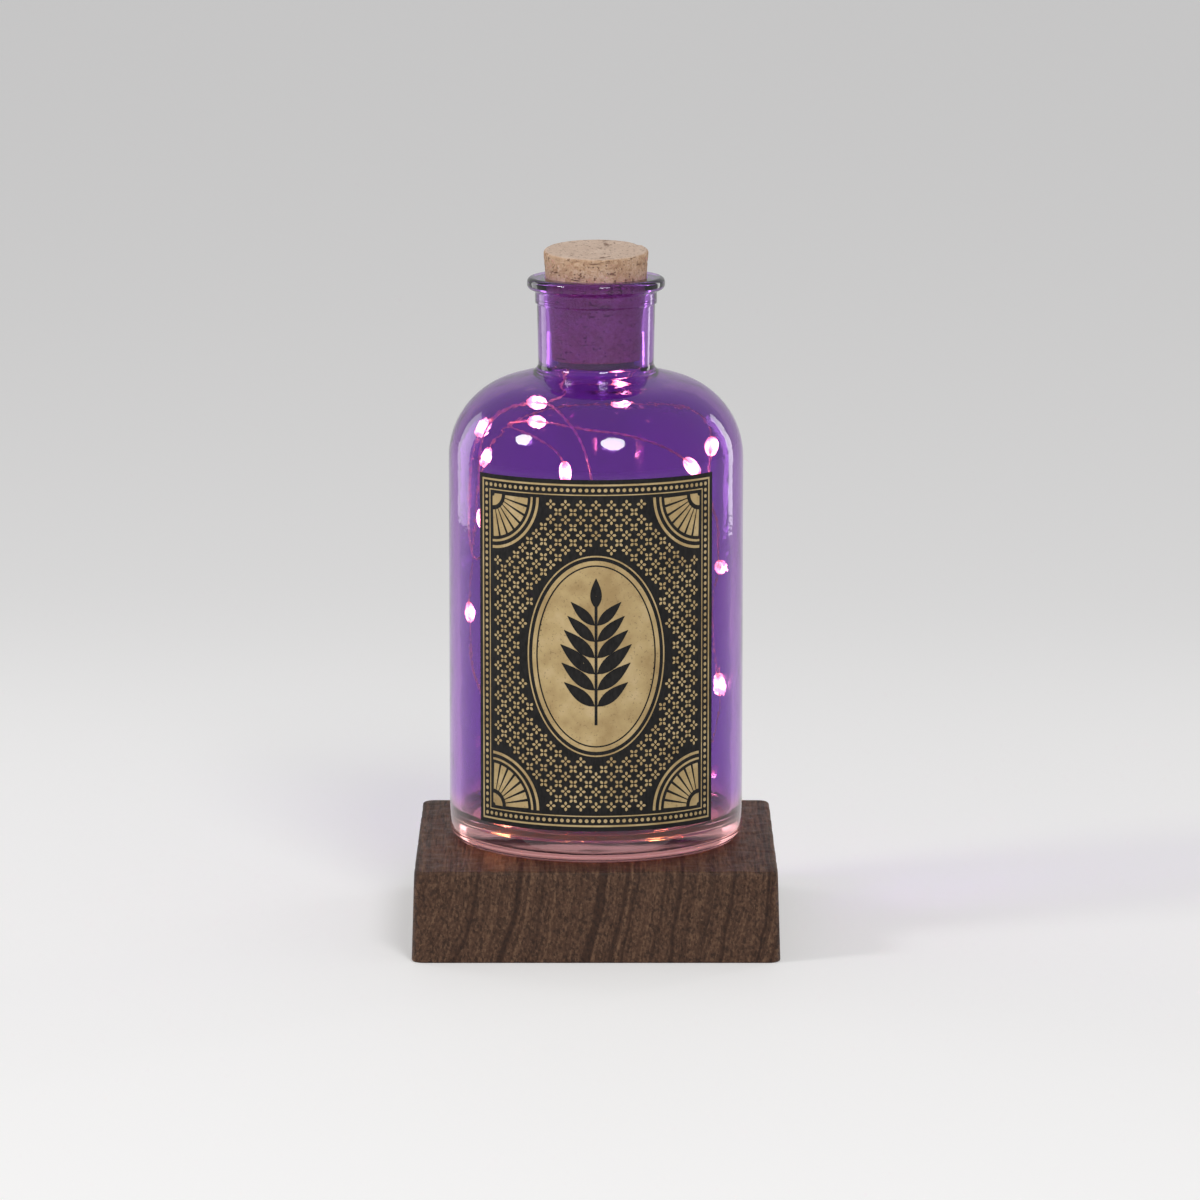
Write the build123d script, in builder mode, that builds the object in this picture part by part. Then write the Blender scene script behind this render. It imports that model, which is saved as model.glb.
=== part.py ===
from build123d import *
from math import cos, degrees, radians, sin, tan
import os

os.makedirs("parts", exist_ok=True)

# A lit apothecary bottle on a wooden block. Millimetres, +Z up, the label faces -Y.
# The origin is the middle of the block's underside. Bottle heights are above the block's top.

# Wooden block
base_side = 100.0  # across the foot
base_height = 25.0
base_draft = 1.8  # degrees that the sides lean in
base_corner_radius = 3.0
base_edge_radius = 1.2
base_foot_radius = 0.6

# Glass bottle, outside
bottle_diameter = 81.0
bottle_height = 156.0
body_height = 106.3  # straight wall, up to the shoulder
shoulder_radius = 23.0
shoulder_slope = 15.0  # degrees, where the shoulder meets the neck
neck_foot_diameter = 31.6
neck_top_diameter = 32.4
neck_fillet = 2.5
collar_diameter = 33.4
collar_height = 3.3
lip_diameter = 37.8
lip_height = 3.8
lip_undercut = 0.7  # rise of the lip's sloped underside
lip_round = 1.4
heel_radius = 4.0
punt_diameter = 66.0
punt_rise = 2.5

# Glass bottle, inside
glass_wall = 3.0
floor_thickness = 5.0
inner_heel_radius = 4.5
bore_diameter = 25.5
bore_fillet = 3.0
mouth_round = 0.8

# Paper label
label_width = 72.0  # along the curve
label_height = 96.4
label_bottom = 9.5
label_thickness = 0.15
glue_film = 0.03

# Cork
cork_top_diameter = 28.8
cork_bottom_diameter = 24.0
cork_length = 30.0
cork_proud = 7.5  # above the lip
cork_top_slant = 4.5  # degrees, the top is cut lower at the front
cork_rim_round = 1.2
cork_foot_round = 0.6
cork_clearance = 0.1  # all round, in the tapered mouth

# Battery capsule let into the cork from below
cell_diameter = 11.6
cell_height = 5.4
cell_cap_diameter = 9.3
cell_cap_height = 0.65
cell_round = 0.55
cell_count = 3
cell_clearance = 0.3
capsule_wall = 2.1
capsule_roof = 1.2
capsule_fit = 0.05  # all round, in the cork
flange_diameter = 21.0
flange_thickness = 1.8
recess_diameter = 10.6  # room above the board
recess_height = 1.8
board_thickness = 0.8
board_fit = 0.05
contact_diameter = 8.0
contact_thickness = 0.3
resistor_size = (3.2, 1.6, 0.6)
resistor_corner = 0.1

# Cap, its bayonet, seal and contacts
plug_length = 4.4
plug_clearance = 0.08
cap_head_diameter = 13.0
cap_head_height = 1.4
cap_head_round = 0.45
cap_gap = 0.1  # under the flange and at the electric contacts
coin_slot_width = 1.6
coin_slot_depth = 0.9
coin_slot_length = 9.0
lug_reach = 0.8
lug_width = 18.0  # degrees
lug_height = 1.2
lug_rise = 1.1  # from the flange's underside to the lug
lug_clearance = 0.15
cap_turn = 90.0  # degrees
lug_angles = (0.0, 180.0)
seal_section = 1.0
seal_drop = 1.0  # from the plug's top to the middle of the seal
seal_clearance = 0.05
spring_height = 1.6
spring_thickness = 0.25
spring_diameter = 9.2
spring_span = 7.0
spring_width = 3.0
strip_width = 2.0
strip_thickness = 0.3
strip_foot = 1.9
strip_clearance = 0.08
strip_angle = 90.0  # degrees from the front, to the right

# Light string
wire_diameter = 0.6  # over its two strands
wire_sides = 4
wire_clearance = 0.05
lead_angle = -90.0  # where the string leaves the capsule
lead_inset = 0.45  # from the capsule's outside to the wire's middle
lead_rise = 0.9  # above the board
lead_start = 4.0  # from the axis, on the board
lead_bend = 0.8
lead_drop = 4.0  # straight down from the bush
grommet_diameter = 1.8
grommet_tail = 1.5
grommet_tip_diameter = 1.2
drop_length = 6.5
drop_diameter = 3.5
drop_tip_diameter = 1.9
drop_middle = 2.2  # length of the full width
drop_sides = 6
tunnel_sides = 4
tunnel_margin = 0.7  # the wire's tunnel is cut past each tip
chip_size = (0.5, 0.9, 1.6)  # off the wire, across it, along it
chip_gap = 0.15  # solder between chip and wire
bend_share = 0.45  # of the shorter run, taken by each bend

# The string's route: distance from the axis, degrees from the front, height above the block
lead_points = [
    (12, -93, 122.8), (18.5, -95, 121.6), (25, -95, 119.6),
]
string_points = [
    # down the left wall, behind the label and up to the left of the neck
    (30.5, -94, 115.5), (33.8, -91, 109), (35, -89, 101), (35, -86, 92.5), (35, -78, 84.5), (35, -67, 79),
    (35, -57, 83), (35, -58, 92.5), (34.8, -64, 102), (33.6, -69, 110.5), (30, -72, 117), (24.5, -72, 121),
    (19.5, -62, 122.6), (18.8, -44, 122.8), (22.5, -28, 122), (27.5, -17, 120), (31.6, -8, 116),
    # down the front wall behind the label
    (34.3, -3, 109.5), (35, -1, 101), (35, 3, 90), (35, 4, 77), (35, -1, 65), (35, -3, 52), (35, 1, 40),
    (35, 3, 28), (34.6, 0, 17), (33, -9, 9.5),
    # half round the floor and up the right wall
    (32.6, -28, 7.9), (32.6, -52, 7.9), (32.6, -77, 8.1), (32.4, -102, 7.9), (32.2, -128, 7.9),
    (32.2, -154, 7.9), (32.4, -179, 8.3), (32.8, -204, 9.6), (34, -227, 14), (35, -247, 21), (35, -263, 31),
    (35, -266, 43.5), (35, -253, 52.5), (35, -250, 64), (35, -262, 73), (35, -279, 75), (35, -291, 80.5),
    (35, -290, 89), (35, -299, 95.5), (35, -302, 103.5), (34, -295, 110.8), (31.4, -280, 115.6),
    # round the back of the shoulder and down the left wall
    (28, -260, 118.6), (25.2, -236, 120.4), (24, -209, 121), (24.4, -181, 120.8), (26.6, -155, 119.4),
    (29.8, -134, 115.6), (33, -119, 109.5), (34.8, -108, 100.5), (35, -102, 88), (35, -97, 74.5), (35, -87, 61),
    (35, -73, 48.5), (35, -55, 40), (35, -36, 40), (35, -22, 49), (35, -18, 62), (35, -22, 75), (35, -15, 87.5),
    # over the label's top edge, a loop at the left and across to the right
    (35, -17, 98.5), (34.8, -12.5, 106), (33.9, -16, 111.8), (32.4, -28, 115.2), (31.2, -40, 116.4),
    (29.8, -51, 117), (27, -61, 117.2), (22.4, -65, 117.4), (19.4, -53, 117.6), (20.6, -36, 117.8),
    (23.6, -20, 117.6), (26.2, -5, 117.2), (28.2, 9, 116.6), (30.4, 23, 115.2), (32.6, 37, 112),
    (34.5, 50, 106.5),
    # the free end, behind the label
    (35, 55, 98), (35, 47, 88.5), (35, 34, 80.5), (35, 24, 69), (35, 30, 57.5), (35, 41, 49), (35, 46, 37),
    (35, 38, 27), (35, 26, 20),
]
# Each light's distance along the string, from the end of the lead
light_places = [
    4.5, 60, 102, 150, 199, 262, 302, 350, 398, 446, 485, 533, 580, 624, 672, 736.5, 776.5, 828, 872, 910,
]

# Worked-out sizes
body_radius = bottle_diameter / 2
inner_radius = body_radius - glass_wall
bore_radius = bore_diameter / 2
lip_bottom = bottle_height - lip_height
collar_bottom = lip_bottom - collar_height
cork_bottom = bottle_height + cork_proud - cork_length
cork_top = cork_bottom + cork_length
cork_flare = (cork_top_diameter - cork_bottom_diameter) / 2 / cork_length
cell_bore = cell_diameter / 2 + cell_clearance
capsule_radius = cell_bore + capsule_wall
flange_bottom = cork_bottom - flange_thickness
plug_top = flange_bottom + plug_length
plug_radius = cell_bore - plug_clearance
cells_bottom = plug_top + spring_height
cells_top = cells_bottom + cell_count * cell_height
board_bottom = cells_top + contact_thickness
board_top = board_bottom + board_thickness
recess_top = board_top + recess_height
capsule_top = recess_top + capsule_roof
wire_radius = wire_diameter / 2
lead_circle = capsule_radius - lead_inset
grommet_bottom = flange_bottom - grommet_tail
lug_bottom = flange_bottom + lug_rise
seal_middle = plug_top - seal_drop


def cork_radius(height):
    return cork_bottom_diameter / 2 + (height - cork_bottom) * cork_flare


def section_plane(angle):
    # upright plane through the axis: x is the radius at that angle from the front, y the height
    across = Vector(sin(radians(angle)), -cos(radians(angle)), 0)
    return Plane(origin=(0, 0, base_height), x_dir=across, z_dir=across.cross(Vector(0, 0, 1)))


def level(height):
    return Plane.XY.offset(base_height + height)


def round_place(radius, angle):
    # one place on a circle about the axis, its local x pointing outwards
    return PolarLocations(radius, 1, start_angle=angle - 90)


def route_point(radius, angle, height):
    return section_plane(angle).from_local_coords((radius, height, 0))


section = section_plane(90)

# Wooden block, sides leaning in, every edge eased
with BuildPart() as wood_base:
    with BuildSketch():
        RectangleRounded(base_side, base_side, base_corner_radius)
    extrude(amount=base_height, taper=base_draft)
    fillet(wood_base.faces().sort_by(Axis.Z)[-1].edges(), base_edge_radius)
    fillet(wood_base.faces().sort_by(Axis.Z)[0].edges(), base_foot_radius)
wood_base.part.label = "wood_base"
export_step(wood_base.part, "parts/wood_base.step")

# Bottle: one section turned about the axis, with a tapered seat for the cork in its mouth
shoulder_centre = body_radius - shoulder_radius
shoulder_end = 90 - shoulder_slope
seat_radius = cork_radius(bottle_height) + cork_clearance
seat_bottom = bottle_height - (seat_radius - bore_radius) / cork_flare


def shoulder_point(radius):
    # where an arc about the shoulder's centre turns into the slope
    reach = radius * cos(radians(shoulder_end))
    return shoulder_centre + reach, body_height + radius * sin(radians(shoulder_end))


def slope_height(start, radius):
    return start[1] + (start[0] - radius) * tan(radians(shoulder_slope))


outer_turn = shoulder_point(shoulder_radius)
inner_turn = shoulder_point(shoulder_radius - glass_wall)
neck_foot = (neck_foot_diameter / 2, slope_height(outer_turn, neck_foot_diameter / 2))
bore_foot = (bore_radius, slope_height(inner_turn, bore_radius))
# each corner's radius, height and rounding
bottle_rounds = [
    (body_radius, 0, heel_radius),
    (inner_radius, floor_thickness, inner_heel_radius),
    (*neck_foot, neck_fillet),
    (*bore_foot, bore_fillet),
    (lip_diameter / 2, lip_bottom + lip_undercut, lip_round),
    (lip_diameter / 2, bottle_height, lip_round),
    (seat_radius, bottle_height, mouth_round),
]
with BuildPart() as bottle:
    with BuildSketch(section) as bottle_section:
        with BuildLine():
            TangentArc((0, punt_rise), (punt_diameter / 2, 0), tangent=(1, 0))
            Polyline((punt_diameter / 2, 0), (body_radius, 0), (body_radius, body_height))
            CenterArc((shoulder_centre, body_height), shoulder_radius, 0, shoulder_end)
            Polyline(
                outer_turn,
                neck_foot,
                (neck_top_diameter / 2, collar_bottom),
                (collar_diameter / 2, collar_bottom),
                (collar_diameter / 2, lip_bottom),
                (lip_diameter / 2, lip_bottom + lip_undercut),
                (lip_diameter / 2, bottle_height),
                (seat_radius, bottle_height),
                (bore_radius, seat_bottom),
                bore_foot,
                inner_turn,
            )
            CenterArc((shoulder_centre, body_height), shoulder_radius - glass_wall, 0, shoulder_end)
            Line((inner_radius, body_height), (inner_radius, floor_thickness))
            TangentArc((0, floor_thickness + punt_rise), (inner_radius, floor_thickness), tangent=(1, 0))
            Line((0, floor_thickness + punt_rise), (0, punt_rise))
        make_face()
        for radius, height, rounding in bottle_rounds:
            fillet(bottle_section.vertices().sort_by_distance((radius, height, 0))[0], rounding)
    revolve(axis=Axis.Z)
bottle.part.label = "bottle"
export_step(bottle.part, "parts/bottle.step")

# Label: a sheet wrapped round the front of the bottle
label_radius = body_radius + glue_film
label_angle = degrees(label_width / label_radius)
with BuildPart() as label:
    with BuildSketch(section_plane(-label_angle / 2)):
        with Locations((label_radius, label_bottom)):
            Rectangle(label_thickness, label_height, align=(Align.MIN, Align.MIN))
    revolve(axis=Axis.Z, revolution_arc=label_angle)
label.part.label = "label"
export_step(label.part, "parts/label.step")

# Cork: a tapered plug with a slanted top and a blind bore for the capsule
slant_margin = cork_top_diameter / 2 * tan(radians(cork_top_slant)) + cork_rim_round
cut_height = cork_top + slant_margin
with BuildPart() as cork:
    with BuildSketch(section):
        with BuildLine():
            Polyline(
                (0, cork_bottom),
                (cork_bottom_diameter / 2, cork_bottom),
                (cork_radius(cut_height), cut_height),
                (0, cut_height),
                close=True,
            )
        make_face()
    revolve(axis=Axis.Z)
    slant = radians(cork_top_slant)
    top_plane = Plane(origin=(0, 0, base_height + cork_top), x_dir=(1, 0, 0), z_dir=(0, -sin(slant), cos(slant)))
    split(bisect_by=top_plane, keep=Keep.BOTTOM)
    fillet(cork.faces().filter_by(GeomType.PLANE).sort_by(Axis.Z)[-1].edges(), cork_rim_round)
    fillet(cork.faces().filter_by(GeomType.PLANE).sort_by(Axis.Z)[0].edges(), cork_foot_round)
    with BuildSketch(level(cork_bottom)):
        Circle(capsule_radius + capsule_fit)
    extrude(amount=capsule_top - cork_bottom + capsule_fit, mode=Mode.SUBTRACT)
cork.part.label = "cork"
export_step(cork.part, "parts/cork.step")

# Battery capsule: a flanged tube, closed above, with the wire's groove, the strip's slot and bayonet slots
groove_floor = lead_circle - wire_radius - wire_clearance
groove_width = wire_diameter + 2 * wire_clearance
groove_top = board_top + lead_rise + wire_radius + wire_clearance
groove_depth = capsule_radius - groove_floor
notch_length = capsule_radius - recess_diameter / 2
slot_height = lug_height + 2 * lug_clearance
slot_bottom = lug_bottom - lug_clearance
slot_reach = cell_bore + lug_reach + lug_clearance - plug_radius
lug_margin = degrees(lug_clearance / cell_bore)
lug_sweep = lug_width + 2 * lug_margin
strip_slot_depth = strip_thickness + strip_clearance
strip_bottom = plug_top + spring_thickness + cap_gap
with BuildPart() as battery_capsule:
    with BuildSketch(section):
        with BuildLine():
            Polyline(
                (cell_bore, flange_bottom),
                (flange_diameter / 2, flange_bottom),
                (flange_diameter / 2, cork_bottom),
                (capsule_radius, cork_bottom),
                (capsule_radius, capsule_top),
                (0, capsule_top),
                (0, recess_top),
                (recess_diameter / 2, recess_top),
                (recess_diameter / 2, board_top),
                (cell_bore, board_top),
                close=True,
            )
        make_face()
    revolve(axis=Axis.Z)
    with BuildSketch(level(cork_bottom)):
        with round_place(groove_floor, lead_angle):
            Rectangle(groove_depth, groove_width, align=(Align.MIN, Align.CENTER))
    extrude(amount=groove_top - cork_bottom, mode=Mode.SUBTRACT)
    with BuildSketch(level(board_top)):
        with round_place(recess_diameter / 2, lead_angle):
            Rectangle(2 * notch_length, groove_width)
    extrude(amount=groove_top - board_top, mode=Mode.SUBTRACT)
    with BuildSketch(level(flange_bottom)):
        with round_place(lead_circle, lead_angle):
            Circle(grommet_diameter / 2)
    extrude(amount=flange_thickness, mode=Mode.SUBTRACT)
    with BuildSketch(level(strip_bottom)):
        with round_place(cell_bore, strip_angle):
            Rectangle(2 * strip_slot_depth, strip_width + 2 * strip_clearance)
    extrude(amount=board_bottom - strip_bottom, mode=Mode.SUBTRACT)
    for lug_angle in lug_angles:
        with BuildSketch(section_plane(lug_angle - lug_sweep / 2)):
            with Locations((plug_radius, slot_bottom)):
                Rectangle(slot_reach, slot_height, align=(Align.MIN, Align.MIN))
        revolve(axis=Axis.Z, revolution_arc=cap_turn + lug_sweep, mode=Mode.SUBTRACT)
        with BuildSketch(section_plane(lug_angle + cap_turn - lug_sweep / 2)):
            with Locations((plug_radius, flange_bottom)):
                Rectangle(slot_reach, lug_rise + slot_height, align=(Align.MIN, Align.MIN))
        revolve(axis=Axis.Z, revolution_arc=lug_sweep, mode=Mode.SUBTRACT)
battery_capsule.part.label = "battery_capsule"
export_step(battery_capsule.part, "parts/battery_capsule.step")

# Circuit board, pressed up against the capsule's ledge
with BuildPart() as circuit_board:
    with BuildSketch(level(board_bottom)):
        Circle(cell_bore - board_fit)
    extrude(amount=board_thickness)
circuit_board.part.label = "circuit_board"
export_step(circuit_board.part, "parts/circuit_board.step")

# Series resistor on the board
with BuildPart() as resistor:
    with BuildSketch(level(board_top)):
        RectangleRounded(resistor_size[0], resistor_size[1], resistor_corner)
    extrude(amount=resistor_size[2])
resistor.part.label = "resistor"
export_step(resistor.part, "parts/resistor.step")

# Positive contact between the board and the top cell
with BuildPart() as positive_contact:
    with BuildSketch(level(cells_top)):
        Circle(contact_diameter / 2)
    extrude(amount=contact_thickness)
positive_contact.part.label = "positive_contact"
export_step(positive_contact.part, "parts/positive_contact.step")

# Button cells, each a drawn can with a smaller negative cap below
for number in range(cell_count):
    cell_bottom = cells_bottom + number * cell_height
    with BuildPart() as button_cell:
        with BuildSketch(level(cell_bottom)):
            Circle(cell_cap_diameter / 2)
        extrude(amount=cell_cap_height)
        with BuildSketch(level(cell_bottom + cell_cap_height)):
            Circle(cell_diameter / 2)
        extrude(amount=cell_height - cell_cap_height)
        fillet(button_cell.edges().sort_by(Axis.Z)[-1], cell_round)
    button_cell.part.label = f"button_cell_{number + 1}"
    export_step(button_cell.part, f"parts/button_cell_{number + 1}.step")

# Negative strip down the capsule's wall, with a foot over the cap's contact
strip_back = cell_bore + strip_thickness
strip_foot_reach = strip_foot + strip_thickness
with BuildPart() as negative_strip:
    with BuildSketch(level(strip_bottom)):
        with round_place(strip_back, strip_angle):
            Rectangle(strip_thickness, strip_width, align=(Align.MAX, Align.CENTER))
    extrude(amount=board_bottom - strip_bottom)
    with BuildSketch(level(strip_bottom)):
        with round_place(strip_back, strip_angle):
            Rectangle(strip_foot_reach, strip_width, align=(Align.MAX, Align.CENTER))
    extrude(amount=strip_thickness)
negative_strip.part.label = "negative_strip"
export_step(negative_strip.part, "parts/negative_strip.step")

# Battery cap: a plug with a seal groove, two bayonet lugs and a coin slot
head_top = flange_bottom - cap_gap
head_bottom = head_top - cap_head_height
seal_groove_radius = plug_radius - seal_section
seal_groove_half = seal_section / 2 + seal_clearance
with BuildPart() as battery_cap:
    with BuildSketch(section):
        with BuildLine():
            Polyline(
                (0, head_bottom),
                (cap_head_diameter / 2, head_bottom),
                (cap_head_diameter / 2, head_top),
                (plug_radius, head_top),
                (plug_radius, seal_middle - seal_groove_half),
                (seal_groove_radius, seal_middle - seal_groove_half),
                (seal_groove_radius, seal_middle + seal_groove_half),
                (plug_radius, seal_middle + seal_groove_half),
                (plug_radius, plug_top),
                (0, plug_top),
                close=True,
            )
        make_face()
    revolve(axis=Axis.Z)
    fillet(battery_cap.edges().filter_by(GeomType.CIRCLE).sort_by(Axis.Z)[0], cap_head_round)
    for lug_angle in lug_angles:
        with BuildSketch(section_plane(lug_angle - lug_width / 2)):
            with Locations((plug_radius - lug_reach, lug_bottom)):
                Rectangle(2 * lug_reach, lug_height, align=(Align.MIN, Align.MIN))
        revolve(axis=Axis.Z, revolution_arc=lug_width)
    with BuildSketch(level(head_bottom)):
        SlotOverall(coin_slot_length, coin_slot_width)
    extrude(amount=coin_slot_depth, mode=Mode.SUBTRACT)
battery_cap.part.label = "battery_cap"
export_step(battery_cap.part, "parts/battery_cap.step")

# Seal ring in the plug's groove
seal_centre = plug_radius - seal_section / 2
with BuildPart() as cap_seal:
    with BuildSketch(section):
        with Locations((seal_centre, seal_middle)):
            Circle(seal_section / 2)
    revolve(axis=Axis.Z)
cap_seal.part.label = "cap_seal"
export_step(cap_seal.part, "parts/cap_seal.step")

# Spring contact: a plate on the plug with an arched leaf under the lowest cell
arch_rise = spring_height - cap_gap
with BuildPart() as spring_contact:
    with BuildSketch(level(plug_top)):
        Circle(spring_diameter / 2)
    extrude(amount=spring_thickness)
    with BuildSketch(section_plane(0)):
        with BuildLine():
            ThreePointArc((-spring_span / 2, plug_top), (0, plug_top + arch_rise), (spring_span / 2, plug_top))
            Line((spring_span / 2, plug_top), (spring_span / 2 - spring_thickness, plug_top))
            ThreePointArc(
                (spring_span / 2 - spring_thickness, plug_top),
                (0, plug_top + arch_rise - spring_thickness),
                (spring_thickness - spring_span / 2, plug_top),
            )
            Line((spring_thickness - spring_span / 2, plug_top), (-spring_span / 2, plug_top))
        make_face()
    extrude(amount=spring_width / 2, both=True)
spring_contact.part.label = "spring_contact"
export_step(spring_contact.part, "parts/spring_contact.step")

# Rubber bush in the flange, tapering round the wire
bush_bore = wire_radius + wire_clearance
with BuildPart() as wire_grommet:
    with BuildSketch(level(flange_bottom)):
        with round_place(lead_circle, lead_angle):
            Circle(grommet_diameter / 2)
            Circle(bush_bore, mode=Mode.SUBTRACT)
    extrude(amount=flange_thickness)
    with BuildSketch(level(flange_bottom)):
        with round_place(lead_circle, lead_angle):
            Circle(grommet_diameter / 2)
    with BuildSketch(level(grommet_bottom)):
        with round_place(lead_circle, lead_angle):
            Circle(grommet_tip_diameter / 2)
    loft()
    with BuildSketch(level(grommet_bottom)):
        with round_place(lead_circle, lead_angle):
            Circle(bush_bore)
    extrude(amount=flange_thickness + grommet_tail, mode=Mode.SUBTRACT)
wire_grommet.part.label = "wire_grommet"
export_step(wire_grommet.part, "parts/wire_grommet.step")


def bend_radii(points):
    # each bend takes the same share of its shorter run
    radii = []
    for before, here, after in zip(points, points[1:], points[2:]):
        turn = (here - before).get_angle(after - here)
        shorter = min((here - before).length, (after - here).length)
        radii.append(bend_share * shorter / tan(radians(turn) / 2))
    return radii


def check_tube(name, tube, path, section_area):
    expected = section_area * path.length
    print(f"{name}: length {path.length:.1f}, volume {tube.volume:.2f} for {expected:.2f}")


# The string's own end: from the board, over the capsule's shoulder and down to the bush
inner_points = [
    route_point(lead_start, lead_angle, board_top),
    route_point(lead_start, lead_angle, board_top + lead_rise),
    route_point(lead_circle, lead_angle, board_top + lead_rise),
    route_point(lead_circle, lead_angle, grommet_bottom),
]
with BuildPart() as inner_leads:
    with BuildLine() as inner_path:
        FilletPolyline(*inner_points, radius=lead_bend)
    inner_wire = inner_path.wire()
    with BuildSketch(Plane(origin=inner_wire @ 0, z_dir=inner_wire % 0)) as wire_section:
        RegularPolygon(wire_radius, wire_sides)
    sweep()
inner_leads.part.label = "inner_leads"
export_step(inner_leads.part, "parts/inner_leads.step")
wire_area = wire_section.sketch.area
check_tube("inner_leads", inner_leads.part, inner_wire, wire_area)

# The free string: the lead and the lit part meet half way along one run
lead_exit = route_point(lead_circle, lead_angle, grommet_bottom)
lead_fall = route_point(lead_circle, lead_angle, grommet_bottom - lead_drop)
lead_route = [lead_exit, lead_fall] + [route_point(*point) for point in lead_points]
string_route = [route_point(*point) for point in string_points]
meeting = (lead_route[-1] + string_route[0]) / 2
lead_route.append(meeting)
string_route.insert(0, meeting)
lead_radii = bend_radii(lead_route)
string_radii = bend_radii(string_route)
print("lead bend radii", [round(r, 1) for r in lead_radii])
print("string bend radii", [round(r, 1) for r in string_radii])

with BuildPart() as led_string_lead:
    with BuildLine() as lead_path:
        FilletPolyline(*lead_route, radius=lead_radii)
    lead_wire = lead_path.wire()
    with BuildSketch(Plane(origin=lead_wire @ 0, z_dir=lead_wire % 0)):
        RegularPolygon(wire_radius, wire_sides)
    sweep()
led_string_lead.part.label = "led_string_lead"
export_step(led_string_lead.part, "parts/led_string_lead.step")
check_tube("led_string_lead", led_string_lead.part, lead_wire, wire_area)

with BuildPart() as led_string_wire:
    with BuildLine() as string_path:
        FilletPolyline(*string_route, radius=string_radii)
    string_wire = string_path.wire()
    with BuildSketch(Plane(origin=string_wire @ 0, z_dir=string_wire % 0)):
        RegularPolygon(wire_radius, wire_sides)
    sweep()
led_string_wire.part.label = "led_string_wire"
export_step(led_string_wire.part, "parts/led_string_wire.step")
check_tube("led_string_wire", led_string_wire.part, string_wire, wire_area)

# The least gap between stretches of the string that lie apart along it
gap_step = 2.0
gap_apart = 8  # steps along the string, past its tightest bend
gap_count = int(string_wire.length / gap_step)
gap_points = [string_wire.position_at(number / gap_count) for number in range(gap_count + 1)]
least_gap = min(
    (gap_points[first] - gap_points[second]).length
    for first in range(gap_count + 1)
    for second in range(first + gap_apart, gap_count + 1)
)
print(f"string's least gap to itself {least_gap - wire_diameter:.2f}")

# Resin drops along the wire, each a faceted barrel round its chip
drop_sections = [
    (-drop_length / 2, drop_tip_diameter),
    (-drop_middle / 2, drop_diameter),
    (drop_middle / 2, drop_diameter),
    (drop_length / 2, drop_tip_diameter),
]
with BuildPart() as one_drop:
    for height, diameter in drop_sections:
        with BuildSketch(Plane.XY.offset(height)):
            RegularPolygon(diameter / 2, drop_sides)
    loft(ruled=True)

light_shares = [place / string_wire.length for place in light_places]
light_planes = [
    Plane(origin=string_wire.position_at(share), z_dir=string_wire.tangent_at(share))
    for share in light_shares
]
chip_offset = wire_radius + chip_gap + chip_size[0] / 2
with BuildPart() as led_chips:
    for light_plane in light_planes:
        with BuildSketch(light_plane.offset(-chip_size[2] / 2)):
            with Locations((chip_offset, 0)):
                Rectangle(chip_size[0], chip_size[1])
        extrude(amount=chip_size[2])
led_chips.part.label = "led_chips"
export_step(led_chips.part, "parts/led_chips.step")

tunnel_share = (drop_length / 2 + tunnel_margin) / string_wire.length
with BuildPart() as led_drops:
    with Locations(*light_planes):
        add(one_drop.part)
    for share, light_plane in zip(light_shares, light_planes):
        stretch = string_wire.trim(share - tunnel_share, share + tunnel_share)
        with BuildSketch(Plane(origin=stretch @ 0, z_dir=stretch % 0)):
            RegularPolygon(wire_radius + wire_clearance, tunnel_sides, major_radius=False)
        sweep(path=stretch, mode=Mode.SUBTRACT)
        with BuildSketch(light_plane.offset(-chip_size[2] / 2)):
            with Locations((chip_offset / 2, 0)):
                Rectangle(chip_offset + chip_size[0], chip_size[1])
        extrude(amount=chip_size[2], mode=Mode.SUBTRACT)
led_drops.part.label = "led_drops"
export_step(led_drops.part, "parts/led_drops.step")
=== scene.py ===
import math
import bmesh
import bpy
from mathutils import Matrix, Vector, noise


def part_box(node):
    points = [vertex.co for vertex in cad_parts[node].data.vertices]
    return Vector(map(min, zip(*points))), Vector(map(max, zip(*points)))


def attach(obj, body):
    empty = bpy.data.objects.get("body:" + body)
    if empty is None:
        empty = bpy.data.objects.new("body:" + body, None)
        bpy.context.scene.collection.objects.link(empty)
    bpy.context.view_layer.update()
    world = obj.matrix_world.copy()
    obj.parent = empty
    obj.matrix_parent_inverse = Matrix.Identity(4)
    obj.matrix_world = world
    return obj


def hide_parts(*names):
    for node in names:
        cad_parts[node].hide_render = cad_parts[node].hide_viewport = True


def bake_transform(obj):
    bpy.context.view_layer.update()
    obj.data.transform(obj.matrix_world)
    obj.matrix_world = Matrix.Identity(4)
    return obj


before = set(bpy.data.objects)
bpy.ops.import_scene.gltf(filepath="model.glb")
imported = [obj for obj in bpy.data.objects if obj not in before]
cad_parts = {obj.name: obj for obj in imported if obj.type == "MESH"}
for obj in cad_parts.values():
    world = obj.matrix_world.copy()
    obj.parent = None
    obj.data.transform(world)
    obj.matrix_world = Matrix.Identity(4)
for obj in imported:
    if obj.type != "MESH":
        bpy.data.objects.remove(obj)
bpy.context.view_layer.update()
scene = bpy.context.scene
scene.view_settings.view_transform = "Standard"
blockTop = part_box("wood_base")[1].z  # the bottle stands here
onAxis = 1e-6  # a smaller radius is the axis itself
mergeGap = 1e-7  # nearer points are one
squareCorners = ((-1, -1), (1, -1), (1, 1), (-1, 1))
print("frame loaded, block top at", round(blockTop, 4))

# Object and mesh helpers


def linkObject(name, data):
    obj = bpy.data.objects.new(name, data)
    scene.collection.objects.link(obj)
    return obj


def linkMesh(name, mesh, material):
    mesh.materials.clear()
    mesh.materials.append(material)
    return linkObject(name, mesh)


def evaluatedMesh(obj):
    return bpy.data.meshes.new_from_object(obj.evaluated_get(bpy.context.evaluated_depsgraph_get()))


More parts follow.
